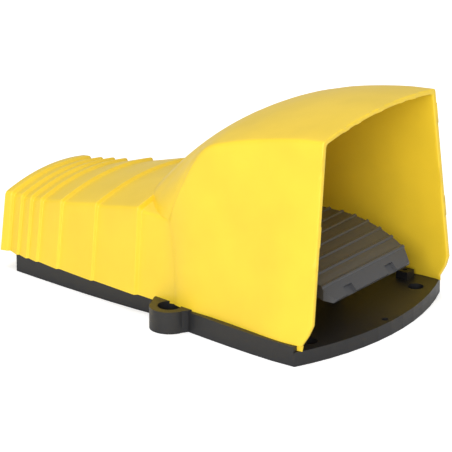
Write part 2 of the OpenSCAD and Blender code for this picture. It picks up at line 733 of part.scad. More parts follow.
module pedal() {
    color("#4a4b4e")
        difference() {
            union() {
                difference() {
                    pedal_block(0, 0);
                    pedal_block(pedal_wall, 20);
                }
                for (i = [0:pedal_rib_n - 1])
                    pedal_rib(0.6 + i * rib_pitch);
                pedal_webs();
                translate([-barrel_l / 2, hinge_y, hinge_z])
                    rotate([0, 90, 0])
                        cylinder(r = barrel_r, h = barrel_l);
                translate([-lever_w / 2, lever_from, lever_z])
                    cube([lever_w, lever_l, barrel_r]);
            }
            translate([-barrel_l / 2 - 1, hinge_y, hinge_z])
                rotate([0, 90, 0])
                    cylinder(r = bush_r + 0.02, h = barrel_l + 2);
            both_sides()
                translate([23 - 4.5, lip[0][0], lip[0][1]])
                    rotate([46, 0, 0])
                        translate([0, -3, -2.2])
                            cube([9, 9, 5]);
            for (x = [-1, 1] * lever_w / 3)
                translate([x, lever_bolt_y, lever_z - 1])
                    cylinder(d = 3.1, h = 5.2);
        }
}
lever_t = 2.5;
nose_r = 4;
module push_lever() {
    color("silver")
        difference() {
            union() {
                translate([-lever_w / 2, lever_from, lever_z - lever_t])
                    cube([lever_w, lever_l, lever_t]);
                translate([-lever_w / 2, hinge_y + 3, plunger_z])
                    rotate([0, 90, 0])
                        cylinder(r = nose_r, h = lever_w);
            }
            for (x = [-1, 1] * lever_w / 3)
                translate([x, lever_bolt_y, lever_z - 2 * lever_t])
                    cylinder(d = 3.4, h = 3 * lever_t);
        }
}
module lever_screws() {
    color("silver")
        for (x = [-1, 1] * lever_w / 3)
            translate([x, lever_bolt_y, lever_z - lever_t - 1.6]) {
                cylinder(d = 2.9, h = lever_t + 5.2);
                cylinder(d = 4.4, h = 1.5);
            }
}
module hinge_bushes() {
    color("ivory")
        both_sides()
            translate([barrel_l / 2, hinge_y, hinge_z])
                rotate([0, 90, 0])
                    difference() {
                        union() {
                            translate([0, 0, -12])
                                cylinder(r = bush_r, h = 12.5);
                            cylinder(r = barrel_r - 0.6, h = 1);
                        }
                        translate([0, 0, -13])
                            cylinder(r = pin_d / 2 + fit, h = 15);
                    }
}
clip_t = 0.9;
clip_at = ear_x + ear_t + 0.3;
clip_r = pin_d / 2 - 0.8;
module hinge_pin() {
    color("silver")
        translate([-clip_at - 2.6, hinge_y, hinge_z])
            rotate([0, 90, 0])
                difference() {
                    cylinder(d = pin_d, h = 2 * clip_at + 5.2);
                    for (x = [2.6 - clip_t, 2 * clip_at + 2.6])
                        translate([0, 0, x])
                            difference() {
                                cylinder(d = pin_d + 1, h = clip_t);
                                cylinder(r = clip_r, h = clip_t);
                            }
                }
}
module pin_clips() {
    color("dimgray")
        both_sides()
            translate([clip_at + 0.05, hinge_y, hinge_z])
                rotate([0, 90, 0])
                    difference() {
                        cylinder(d = pin_d + 5, h = clip_t - 0.1);
                        translate([0, 0, -1])
                            cylinder(r = clip_r + fit, h = 3);
                    }
}

// Closed coil with flat-lying ends
spring_top = pedal_z - pedal_wall - seat;
module coil(x) {
    ring = 6;
    per_turn = 12;
    n = spring_turns * per_turn;
    rise = spring_top - spring_z - 2 * wire_r;
    points = [for (i = [0:n], j = [0:ring - 1])
        let (a = 360 * i / per_turn, b = 360 * j / ring, r = spring_r + wire_r * cos(b),
            u = min(max((i - per_turn * 0.75) / (n - per_turn * 1.5), 0), 1),
            turns = i / per_turn, left = (n - i) / per_turn,
            lift = (min(turns - 0.75, 0) + max(0.75 - left, 0)) * wire_r * 1.2)
        [r * cos(a), r * sin(a), wire_r + 0.9 * wire_r + (rise - 1.8 * wire_r) * u + lift + wire_r * sin(b)]];
    color("silver")
        translate([x, spring_at[1], spring_z])
            polyhedron(points, concat([[for (j = [0:ring - 1]) j]],
                [[for (j = [ring - 1:-1:0]) n * ring + j]],
                [for (i = [0:n - 1], j = [0:ring - 1])
                    let (a = i * ring + j, b = i * ring + (j + 1) % ring) each [
                        [a, a + ring, b + ring], [a, b + ring, b]]]), convexity = 10);
}
module return_spring_left() {
    coil(-spring_at[0]);
}
module return_spring_right() {
    coil(spring_at[0]);
}
module stop_buffers() {
    color("dimgray")
        both_sides()
            translate([stop_at[0], stop_at[1], stop_z - stop_t])
                rotate_extrude()
                    polygon([[0, 0], [stop_r, 0], [stop_r, stop_t - 1], [stop_r - 1, stop_t], [0, stop_t]]);
}

// ---- Contacts ----
plunger_tip_y = hinge_y + 3 + nose_r + 0.3;
plunger_l = block_y + 6 - plunger_tip_y;
plunger_travel = plunger_drop * pedal_travel * PI / 180;
module plunger(x) {
    color("ivory")
        translate([x, plunger_tip_y, plunger_z])
            rotate([-90, 0, 0])
                rotate_extrude()
                    polygon([[0, 0], [plunger_d / 2 - 1, 0], [plunger_d / 2, 1], [plunger_d / 2, plunger_l], [0, plunger_l]]);
}
module plunger_left() {
    plunger(-block_x);
}
module plunger_right() {
    plunger(block_x);
}
module plunger_seals() {
    color("dimgray")
        both_sides()
            translate([block_x, wall_y, plunger_z])
                rotate([-90, 0, 0])
                    rotate_extrude()
                        polygon([[plunger_d / 2 + fit, -2.6], [seal_r, -2.6], [seal_r + 2, -1], [seal_r + 2, 0],
                            [seal_r - seat, 0], [seal_r - seat, bulkhead_t], [plunger_d / 2 + fit, bulkhead_t]]);
}
terminal_step = [14, 9]; // length and depth of the step that carries the terminals
terminal_x = 6;
module contact_block(x) {
    color("#2f3136")
        translate([x, block_y, chamber_z + seat])
            difference() {
                translate([-block_w / 2, 0, 0])
                    cube([block_w, block_l, block_h]);
                translate([-block_w / 2 - 1, block_l - terminal_step[0], block_h - terminal_step[1]])
                    cube([block_w + 2, terminal_step[0] + 1, terminal_step[1] + 1]);
                for (s = [-1, 1]) {
                    translate([s * terminal_x, block_l - terminal_step[0] / 2, block_h - terminal_step[1] - 6])
                        cylinder(d = 3.2, h = 7);
                    translate([s * block_bolt[0], block_bolt[1], -1])
                        cylinder(d = 3.6, h = block_h + 2);
                }
                translate([0, -1, plunger_z - chamber_z - seat])
                    along_y(plunger_d + 2 * fit, 1 + 6 + plunger_travel + 1);
            }
}
module contact_block_left() {
    contact_block(-block_x);
}
module contact_block_right() {
    contact_block(block_x);
}
module terminal_screws(x) {
    color("silver")
        for (s = [-1, 1] * terminal_x)
            translate([x + s, block_y + block_l - terminal_step[0] / 2, chamber_z + seat + block_h - terminal_step[1]])
                difference() {
                    union() {
                        cylinder(d = 7, h = 2.2);
                        translate([0, 0, -5])
                            cylinder(d = 3, h = 6);
                    }
                    translate([-4, -0.5, 1.2])
                        cube([8, 1, 2]);
                }
}
module terminal_screws_left() {
    terminal_screws(-block_x);
}
module terminal_screws_right() {
    terminal_screws(block_x);
}
module block_screws() {
    color("silver")
        for (x = [-1, 1] * block_x, s = [-1, 1] * block_bolt[0])
            translate([x + s, block_y + block_bolt[1], 1.2]) {
                cylinder(d = 3.2, h = chamber_z + seat + block_h - 1);
                translate([0, 0, chamber_z + seat + block_h - 1.2])
                    cylinder(d = 6, h = 2.4);
            }
}

base();
cover();
cover_gasket();
cover_screws();
cover_clips();
pedal();
push_lever();
lever_screws();
hinge_pin();
hinge_bushes();
pin_clips();
return_spring_left();
return_spring_right();
stop_buffers();
plunger_left();
plunger_right();
plunger_seals();
contact_block_left();
contact_block_right();
terminal_screws_left();
terminal_screws_right();
block_screws();
entry_plug();
entry_seal();
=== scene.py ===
"""Looks of a covered industrial foot switch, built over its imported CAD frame. Run as a script, in metres."""

import json
import math

import bmesh
import bpy
import numpy as np
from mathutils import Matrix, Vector


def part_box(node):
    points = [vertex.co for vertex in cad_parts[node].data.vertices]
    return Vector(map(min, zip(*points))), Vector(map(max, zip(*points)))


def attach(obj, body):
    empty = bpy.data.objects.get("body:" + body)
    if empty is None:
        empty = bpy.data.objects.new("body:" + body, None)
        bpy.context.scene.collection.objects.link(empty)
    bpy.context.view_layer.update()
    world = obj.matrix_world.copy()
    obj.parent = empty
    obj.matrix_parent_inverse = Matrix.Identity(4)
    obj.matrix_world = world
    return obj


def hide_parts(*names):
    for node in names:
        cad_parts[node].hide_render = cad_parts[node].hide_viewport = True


bl_info = {
    "name": "Covered Foot Switch",
    "version": (1, 0, 0),
    "blender": (4, 5, 0),
    "location": "3D View > Sidebar > Foot Switch",
    "description": "Builds the cover of an industrial foot switch and finishes its CAD pieces",
    "category": "Object",
}

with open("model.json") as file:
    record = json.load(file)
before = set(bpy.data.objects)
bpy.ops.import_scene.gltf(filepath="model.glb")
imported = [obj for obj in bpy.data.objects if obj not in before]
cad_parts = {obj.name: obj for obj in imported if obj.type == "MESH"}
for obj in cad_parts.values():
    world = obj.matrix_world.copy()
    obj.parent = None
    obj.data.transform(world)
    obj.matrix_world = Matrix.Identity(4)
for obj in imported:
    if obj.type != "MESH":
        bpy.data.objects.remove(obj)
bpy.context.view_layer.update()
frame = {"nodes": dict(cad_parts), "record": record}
MM = 0.001
# The cover's highest corner in millimetres
COVER_HIGH = np.array(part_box("cover")[1]) / MM


# ---------------------------------------------------------------- helpers
def mix(a, b, t):
    """The value at the share t of the way from a to b."""
    return a + (b - a) * t


def bezier(points, t):
    """Point at t on the Bezier curve of 3 or 4 control points."""
    points = [np.asarray(p, float) for p in points]
    while len(points) > 1:
        points = [mix(a, b, t) for a, b in zip(points, points[1:])]
    return points[0]


def linear(code):
    """Turns an sRGB hex code into a linear colour with alpha."""
    parts = [int(code[i : i + 2], 16) / 255 for i in (1, 3, 5)]
    return [c / 12.92 if c <= 0.04045 else ((c + 0.055) / 1.055) ** 2.4 for c in parts] + [1.0]


def add(tree, kind, links=None, values=None):
    """Adds a node to a tree, sets its input values and links its inputs."""
    node = tree.nodes.new(kind)
    for key, value in (values or {}).items():
        node.inputs[key].default_value = value
    for key, socket in (links or {}).items():
        tree.links.new(socket, node.inputs[key])
    return node


def new_object(name, verts, faces):
    """Makes a mesh object from points in millimetres."""
    mesh = bpy.data.meshes.new(name)
    mesh.from_pydata([tuple(c * MM for c in v) for v in verts], [], [tuple(f) for f in faces])
    mesh.update()
    obj = bpy.data.objects.new(name, mesh)
    bpy.context.scene.collection.objects.link(obj)
    return obj


def shade(obj, degrees):
    """Smooths the shading and keeps edges over the angle sharp."""
    obj.data.shade_smooth()
    obj.data.set_sharp_from_angle(angle=math.radians(degrees))
    return obj


def outward(obj):
    """Turns all faces outwards and merges doubles."""
    mesh = bmesh.new()
    mesh.from_mesh(obj.data)
    bmesh.ops.remove_doubles(mesh, verts=mesh.verts, dist=1e-6)
    bmesh.ops.recalc_face_normals(mesh, faces=mesh.faces)
    mesh.to_mesh(obj.data)
    mesh.free()
    return obj


def finished(obj, material, body, replaced):
    """Gives a piece its material and its body, and hides the CAD node it stands for."""
    obj.data.materials.clear()
    obj.data.materials.append(material)
    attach(obj, body)
    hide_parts(replaced)


# ---------------------------------------------------------------- materials
COLOUR_DRIFT = 0.04
PLASTIC_IOR = 1.53


def moulded(name, colour, roughness, grain_mm, grain_depth):
    """A moulded plastic: even colour with a slight drift, and the fine grain of a spark-eroded mould.

    The grain's size and depth are in millimetres. It is drawn coarser than the real one, which is too fine to
    show, and it breaks up the highlights.
    """
    material = bpy.data.materials.new(name)
    material.use_nodes = True
    tree = material.node_tree
    tree.nodes.clear()
    place = add(tree, "ShaderNodeTexCoord").outputs["Object"]
    cloud = add(tree, "ShaderNodeTexNoise", {"Vector": place}, {"Scale": 28.0, "Detail": 3.0})
    grain = add(tree, "ShaderNodeTexNoise", {"Vector": place}, {"Scale": 1 / (grain_mm * MM), "Detail": 4.0})
    tint = add(tree, "ShaderNodeHueSaturation", values={"Color": linear(colour)})
    drifted = add(
        tree,
        "ShaderNodeMapRange",
        {"Value": cloud.outputs["Fac"]},
        {"From Min": 0.3, "From Max": 0.7, "To Min": 1 - COLOUR_DRIFT, "To Max": 1 + COLOUR_DRIFT},
    )
    tree.links.new(drifted.outputs["Result"], tint.inputs["Value"])
    rough = add(
        tree,
        "ShaderNodeMapRange",
        {"Value": grain.outputs["Fac"]},
        {"From Min": 0.3, "From Max": 0.7, "To Min": roughness - 0.05, "To Max": roughness + 0.05},
    )
    bump = add(
        tree,
        "ShaderNodeBump",
        {"Height": grain.outputs["Fac"]},
        {"Strength": 1.0, "Distance": grain_depth * MM},
    )
    shader = add(
        tree,
        "ShaderNodeBsdfPrincipled",
        {
            "Base Color": tint.outputs["Color"],
            "Roughness": rough.outputs["Result"],
            "Normal": bump.outputs["Normal"],
        },
        {"IOR": PLASTIC_IOR},
    )
    add(tree, "ShaderNodeOutputMaterial", {"Surface": shader.outputs["BSDF"]})
    return material


def metal(name, colour, roughness, lines_per_metre):
    """A plated or drawn metal with fine lines from its making."""
    material = bpy.data.materials.new(name)
    material.use_nodes = True
    tree = material.node_tree
    tree.nodes.clear()
    place = add(tree, "ShaderNodeTexCoord").outputs["Object"]
    lines = add(tree, "ShaderNodeTexNoise", {"Vector": place}, {"Scale": lines_per_metre, "Detail": 5.0})
    rough = add(
        tree,
        "ShaderNodeMapRange",
        {"Value": lines.outputs["Fac"]},
        {"From Min": 0.3, "From Max": 0.7, "To Min": roughness - 0.08, "To Max": roughness + 0.08},
    )
    shader = add(
        tree,
        "ShaderNodeBsdfPrincipled",
        {"Roughness": rough.outputs["Result"]},
        {"Base Color": linear(colour), "Metallic": 1.0},
    )
    add(tree, "ShaderNodeOutputMaterial", {"Surface": shader.outputs["BSDF"]})
    return material


FINISHES = {}


def finish_of(name):
    """The material with this name, made once from the scene's colour settings."""
    if name not in FINISHES:
        paint = bpy.context.scene.foot_switch_finish
        FINISHES[name] = {
            # A satin shell whose highlights are broad and soft
            "yellow_abs": lambda: moulded(name, paint.cover, 0.42, 0.35, 0.006),
            # A dark tray with a dull sheen along its edges
            "black_nylon": lambda: moulded(name, paint.base, 0.40, 0.4, 0.008),
            # A tread slightly lighter than the base, so its ribs show
            "grey_nylon": lambda: moulded(name, paint.pedal, 0.38, 0.4, 0.008),
            # Smooth, waxy bushes and plungers
            "white_acetal": lambda: moulded(name, paint.acetal, 0.3, 0.5, 0.003),
            # Flat grey blocks that stand apart from the tray
            "charcoal_polyamide": lambda: moulded(name, paint.block, 0.5, 0.4, 0.008),
            # Dull black seals with hardly a highlight
            "nitrile_rubber": lambda: moulded(name, paint.rubber, 0.7, 0.6, 0.02),
            # Bright, slightly uneven screws and pin
            "zinc_plated_steel": lambda: metal(name, paint.steel, 0.35, 900.0),
            # Darker wire with a narrow highlight
            "drawn_spring_wire": lambda: metal(name, paint.wire, 0.3, 1500.0),
        }[name]()
    return FINISHES[name]


SLOT_FINISH = {
    "cover": "yellow_abs",
    "base": "black_nylon",
    "pedal": "grey_nylon",
    "acetal": "white_acetal",
    "block": "charcoal_polyamide",
    "rubber": "nitrile_rubber",
    "steel": "zinc_plated_steel",
    "spring_steel": "drawn_spring_wire",
}


class FinishSizes(bpy.types.PropertyGroup):
    cover: bpy.props.StringProperty(
        name="Cover",
        description="sRGB colour of the cover",
        default="#EFCB30",
    )
    base: bpy.props.StringProperty(
        name="Base",
        description="sRGB colour of the base",
        default="#1B1B1D",
    )
    pedal: bpy.props.StringProperty(
        name="Pedal",
        description="sRGB colour of the pedal",
        default="#47484B",
    )
    acetal: bpy.props.StringProperty(
        name="Bushes",
        description="sRGB colour of bushes and plungers",
        default="#E6E2D6",
    )
    block: bpy.props.StringProperty(
        name="Blocks",
        description="sRGB colour of the contact blocks",
        default="#2F3136",
    )
    rubber: bpy.props.StringProperty(
        name="Rubber",
        description="sRGB colour of seals and buffers",
        default="#202022",
    )
    steel: bpy.props.StringProperty(
        name="Steel",
        description="sRGB colour of plated steel",
        default="#B4B6B8",
    )
    wire: bpy.props.StringProperty(
        name="Wire",
        description="sRGB colour of spring wire",
        default="#8B8D90",
    )


# ---------------------------------------------------------------- cover
REAR_Y = COVER_HIGH[1]
STRIP_TOP = 13.9
HOUSING_FOOT = 12.0
HOOD_FOOT = STRIP_TOP + 0.1
FLOOR_TOP = 9.7
CHIN_Z = 25.9
# How far the front rim leans forward at its chin, and how far it slopes back from there to the floor
RIM_LEAN, CHIN_BACK = 2.4, 10
# The rim's plane turns from square to leaning over this stretch of the hood
LEAN_FROM, RIM_Y = -108.0, -129.9
# Half width of the hood across its top corners, and its crown above them at the rim
HOOD_TOP_HALF, RIM_CROWN = 63.0, 5.3
# How far a row moves for each millimetre of step depth: y, widths at foot and corner, height, crown
STEP_SHARE = np.array([0.75, 0.8, 1, 1, 0])
# Longest stretch of plain wall that still gets sections of its own between its ends
LONG_WALL, SECTION_GAP = 12, 6
# Sections round the hood's back, and the distance between sections along the hood
BACK_SECTIONS, HOOD_GAP = 16, 3.2
# Half width of the base behind its lugs, its loss towards the rear, and where both ends lie
BASE_HALF, BASE_TAPER, BASE_FRONT_Y, BASE_REAR_Y = 60.3, 10.9, 10, 127.4
# Edges of the rim that turn by more than this angle, in radians, are rounded
RIM_EDGE_ANGLE = 0.6
# Each row: y, half width at the foot, half width at the top corner, height there, crown above it
STEPS = [
    (134.5, 48.7, 43.8, 51.8, 5.2),
    (125.3, 51.1, 45.1, 52.6, 5.2),
    (116.4, 52.7, 46.6, 53.8, 5.3),
    (107.1, 54.0, 48.0, 54.9, 5.5),
    (88.3, 56.7, 51.0, 58.4, 5.8),
    (57.1, 60.5, 54.8, 64.2, 6.3),
    (18.9, 64.7, 60.4, 71.5, 7.0),
]
REAR_ROW = (REAR_Y, 49.9, 44.1, 51.3, 5.2)
WAIST_ROW = (-15.0, 66.8, 61.0, 68.5, 6.0)
SHOULDER_Y = -46.0
VALLEY = {"rear": 32.5, "mid": -17.0, "reach": 62.5, "turn": 61.0, "turn_z": 68.5, "foot_y": -14.9}


class CoverSizes(bpy.types.PropertyGroup):
    wall: bpy.props.FloatProperty(
        name="Wall",
        description="Wall thickness in mm",
        default=3.4,
        min=3.0,
        max=4.0,
    )
    edge: bpy.props.FloatProperty(
        name="Top edge",
        description="Radius of the long top edges in mm",
        default=2.4,
    )
    step: bpy.props.FloatProperty(
        name="Step",
        description="Depth of a rear step in mm",
        default=1.7,
    )
    front_step: bpy.props.FloatProperty(
        name="Front step",
        description="Depth of the front step in mm",
        default=2.5,
    )
    step_round: bpy.props.FloatProperty(
        name="Step rounding",
        description="Rounding of the step edges in mm",
        default=0.55,
    )
    rim_round: bpy.props.FloatProperty(
        name="Rim rounding",
        description="Rounding of the rim's edges in mm",
        default=0.8,
    )
    rear_round: bpy.props.FloatProperty(
        name="Rear rounding",
        description="Rounding of the rear edge in mm",
        default=1.2,
    )


def hood_rows():
    """Rows of the hood from its shoulder to its front rim."""
    top_z = COVER_HIGH[2] - RIM_CROWN
    # Each row: y, half width at the foot, gain in top half width, height below the rim, crown
    table = [
        (SHOULDER_Y, 71.6, 3.3, -18.5, 7.0),
        (-52.6, 72.4, 2.9, -16.3, 7.1),
        (-63.0, 73.8, 2.5, -12.9, 7.2),
        (-74.2, 75.6, 2.1, -9.9, 7.1),
        (-85.1, 77.4, 1.6, -7.3, 6.9),
        (-96.6, 79.3, 1.0, -4.8, 6.5),
        (-111.6, 80.9, 0.4, -2.1, 5.9),
        (-121.0, 80.9, 0.2, -1.0, 5.6),
        (RIM_Y, 80.2, 0.0, 0.0, RIM_CROWN),
    ]
    return np.array(
        [(y, foot, HOOD_TOP_HALF + gain, top_z + fall, crown) for y, foot, gain, fall, crown in table]
    )


def smooth_rows(rows, step):
    """Resamples rows at even steps of y with a monotone cubic through them."""
    y = -rows[:, 0]
    slopes = np.diff(rows, axis=0) / np.diff(y)[:, None]
    tangents = np.vstack([slopes[:1], (slopes[1:] + slopes[:-1]) / 2, slopes[-1:]])
    still = np.zeros_like(slopes[:1])
    flat = np.vstack([still, slopes[1:] * slopes[:-1] <= 0, still]).astype(bool)
    tangents[flat] = 0
    out = []
    for at in np.linspace(y[0], y[-1], int((y[-1] - y[0]) / step) + 1):
        i = min(np.searchsorted(y, at, side="right") - 1, len(y) - 2)
        h = y[i + 1] - y[i]
        t = (at - y[i]) / h
        out.append(
            (2 * t**3 - 3 * t**2 + 1) * rows[i]
            + (t**3 - 2 * t**2 + t) * h * tangents[i]
            + (3 * t**2 - 2 * t**3) * rows[i + 1]
            + (t**3 - t**2) * h * tangents[i + 1]
        )
    return np.array(out)


def housing_rows(sizes):
    """Rows of the housing at its step edges, from the back to the waist."""
    rows = [REAR_ROW]
    for i, high in enumerate(STEPS):
        depth = sizes.front_step if i == len(STEPS) - 1 else sizes.step
        rows += [high, np.array(high) - depth * STEP_SHARE]
    return np.array(rows + [WAIST_ROW], float)


class Section:
    """Points of the cover's half section, from its foot up and over to the crown."""

    UP, CORNER, OVER = 18, 6, 26

    def __init__(self, sizes):
        self.edge = sizes.edge
        self.wall_t = np.linspace(0, 1, self.UP + 1)
        self.corner_t = np.linspace(0, 1, self.CORNER + 1)[1:-1]
        self.over_t = np.linspace(0, 1, self.OVER + 1) ** 0.85
        # How far round the hood's back a column lies: along the wall, then over the roof
        self.up = np.concatenate([self.wall_t * 0.96, np.full(self.CORNER - 1 + self.OVER + 1, 0.96)])
        self.over = np.concatenate(
            [np.zeros(self.UP + 1), self.corner_t * 2 / 9, 2 / 9 + self.over_t * 7 / 9]
        )

    def half(self, row, foot, inset=0.0):
        """Half section as (x, z) points for one row, moved in by a wall's thickness."""
        b = np.array([row[1] - inset, foot])
        c = np.array([row[2] - inset, row[3] - inset * 0.9])
        p = c + self.edge * (b - c) / np.linalg.norm(b - c)
        q = c + self.edge * np.array([-1, 0.2])
        q[1] = c[1] + row[4] * (1 - (q[0] / c[0]) ** 2)
        wall = [mix(b, p, t) for t in self.wall_t]
        corner = [bezier([p, c, q], t) for t in self.corner_t]
        over = [np.array([x, c[1] + row[4] * (1 - (x / c[0]) ** 2)]) for x in q[0] * (1 - self.over_t)]
        return np.array(wall + corner + over)


def row_at(rows, y):
    """The housing's row at a distance y."""
    order = rows[::-1]
    return np.array([y] + [np.interp(y, order[:, 0], order[:, c]) for c in range(1, 5)])


def roof_z(rows, x, y):
    """Height of the housing's roof at a place."""
    row = row_at(rows, y)
    return row[3] + row[4] * (1 - min(x / row[2], 1) ** 2)


def valley_y(x):
    """Where the valley crosses the roof, from above."""
    x = min(x, VALLEY["turn"])
    return mix(VALLEY["mid"], VALLEY["rear"], math.sqrt(1 - (x / VALLEY["reach"]) ** 2))


def valley_side_y(z):
    """Where the valley runs down the side wall, at a height."""
    t = max(z - HOUSING_FOOT, 0) / (VALLEY["turn_z"] - HOUSING_FOOT)
    return mix(VALLEY["foot_y"], valley_y(VALLEY["turn"]), t * t)


def valley_line(section, rows, inset):
    """The valley where the hood's rounded back meets the housing."""
    h = section.half((0, WAIST_ROW[1], VALLEY["turn"], VALLEY["turn_z"], WAIST_ROW[4]), HOOD_FOOT)
    first, last = section.UP, section.UP + section.CORNER
    out = []
    for k, (x, z) in enumerate(h):
        if k <= first:
            out.append((x - inset * 0.96, valley_side_y(z) - inset * 0.45, z))
        elif k < last:
            t = (k - first) / section.CORNER
            y = mix(valley_side_y(h[first][1]), valley_y(x), t)
            out.append((x - inset * 0.8, y - inset * 0.3, z - inset * 0.8))
        else:
            y = valley_y(x)
            out.append((x - inset * 0.5 * x / VALLEY["turn"], y - inset * 0.45, roof_z(rows, x, y) - inset))
    return np.array(out)


def housing_stations(section, sizes, rows, valley, inset):
    """Sections across the housing, with rounded step edges; near the hood their roofs stop at the valley."""
    out = []
    stations = []
    if inset == 0:
        # The rear edge turns into the rear face on a small radius
        for a in np.linspace(0, math.pi / 2, 5)[:-1]:
            row = REAR_ROW
            shrink = sizes.rear_round * (1 - math.sin(a))
            stations.append((row, shrink, REAR_Y - sizes.rear_round * (1 - math.cos(a))))
    points = rows[:-1]
    start = np.array(REAR_ROW, float)
    start[0] -= sizes.rear_round
    corner_list = [start] + list(points[1:]) + [rows[-1]]
    for i in range(1, len(corner_list) - 1):
        before, at, after = corner_list[i - 1], corner_list[i], corner_list[i + 1]
        length_in = np.linalg.norm((at - before)[:3])
        length_out = np.linalg.norm((after - at)[:3])
        back_in = min(sizes.step_round, length_in * 0.45)
        back_out = min(sizes.step_round, length_out * 0.45)
        entry = at + (before - at) * back_in / length_in
        leave = at + (after - at) * back_out / length_out
        if length_in > LONG_WALL:
            for t in np.linspace(0, 1, int(length_in / SECTION_GAP) + 1)[1:-1]:
                row = mix(before, at, t)
                stations.append((row, inset, row[0]))
        for t in (0, 0.25, 0.5, 0.75, 1):
            row = bezier([entry, at, leave], t)
            stations.append((row, inset, row[0]))
    for y in (12.0, 7.0, 2.0, -2.0):
        stations.append((row_at(rows, y), inset, y))
    n = len(stations)
    for i, (row, shrink, y0) in enumerate(stations):
        h = section.half(row, HOUSING_FOOT, shrink)
        y0 = y0 - inset if i == 0 and inset else y0
        points = []
        for k, (x, z) in enumerate(h):
            y = max(y0, valley[k][1] + 0.03 * (n - i)) if k > section.UP else y0
            points.append((x, y, roof_z(rows, x, y) - shrink if y > y0 else z))
        out.append(points)
    return [np.array(p) for p in out]


def shoulder_stations(section, shoulder, valley, count):
    """Sections of the hood's rounded back, from the valley to the shoulder."""
    out = []
    for i in range(count - 1, 0, -1):
        t = i / count
        points = []
        for k in range(len(valley)):
            f, g = section.up[k], section.over[k]
            wall = k <= section.UP
            over_way = np.array([0, 1, -0.36])
            way = mix(np.array([-0.07, 1, 0]), over_way, f) if wall else over_way
            reach = mix(14, 18, f) if wall else mix(18, 27, g)
            if wall:
                lift = mix(np.array([3.4, -5, 0]), np.array([4, -6, 14.0]), f)
            else:
                lift = mix(np.array([3, -7, 15.0]), np.array([0, -19, 20.0]), g**0.6)
                lift = mix(np.array([4, -6, 14.0]), lift, min(g * 9, 1))
            curve = [shoulder[k], shoulder[k] + way * reach, valley[k] + lift, valley[k]]
            points.append(bezier(curve, t))
        out.append(np.array(points))
    return out


def lean(z, top):
    """How far the front rim leans forward at a height; below its chin it slopes back."""
    if z < CHIN_Z:
        return -RIM_LEAN + CHIN_BACK * (CHIN_Z - z) / (CHIN_Z - FLOOR_TOP)
    return -RIM_LEAN + RIM_LEAN * min((z - CHIN_Z) / (top - CHIN_Z), 1)


def hood_stations(section, rows, inset):
    """Sections across the hood, leaning more and more towards the front rim."""
    out = []
    for row in rows:
        share = max((LEAN_FROM - row[0]) / (LEAN_FROM - RIM_Y), 0)
        h = section.half(row, HOOD_FOOT, inset)
        points = []
        for k, (x, z) in enumerate(h):
            shift = -0.3 * section.over[k] if k > section.UP else lean(z, rows[-1][3])
            points.append((x, row[0] + shift * share, z))
        out.append(np.array(points))
    return out


def cover_sheet(section, sizes, inset):
    """All sections of one side of the cover's wall, from the back to the front rim."""
    rows = housing_rows(sizes)
    valley = valley_line(section, rows, inset)
    hood = hood_stations(section, smooth_rows(hood_rows(), HOOD_GAP), inset)
    shoulder = shoulder_stations(section, hood[0], valley, BACK_SECTIONS)
    return housing_stations(section, sizes, rows, valley, inset) + [valley] + shoulder + hood


def mirrored(points):
    """A half section and its mirror image, as one run from foot to foot."""
    return np.vstack([points, points[-2::-1] * np.array([-1, 1, 1])])


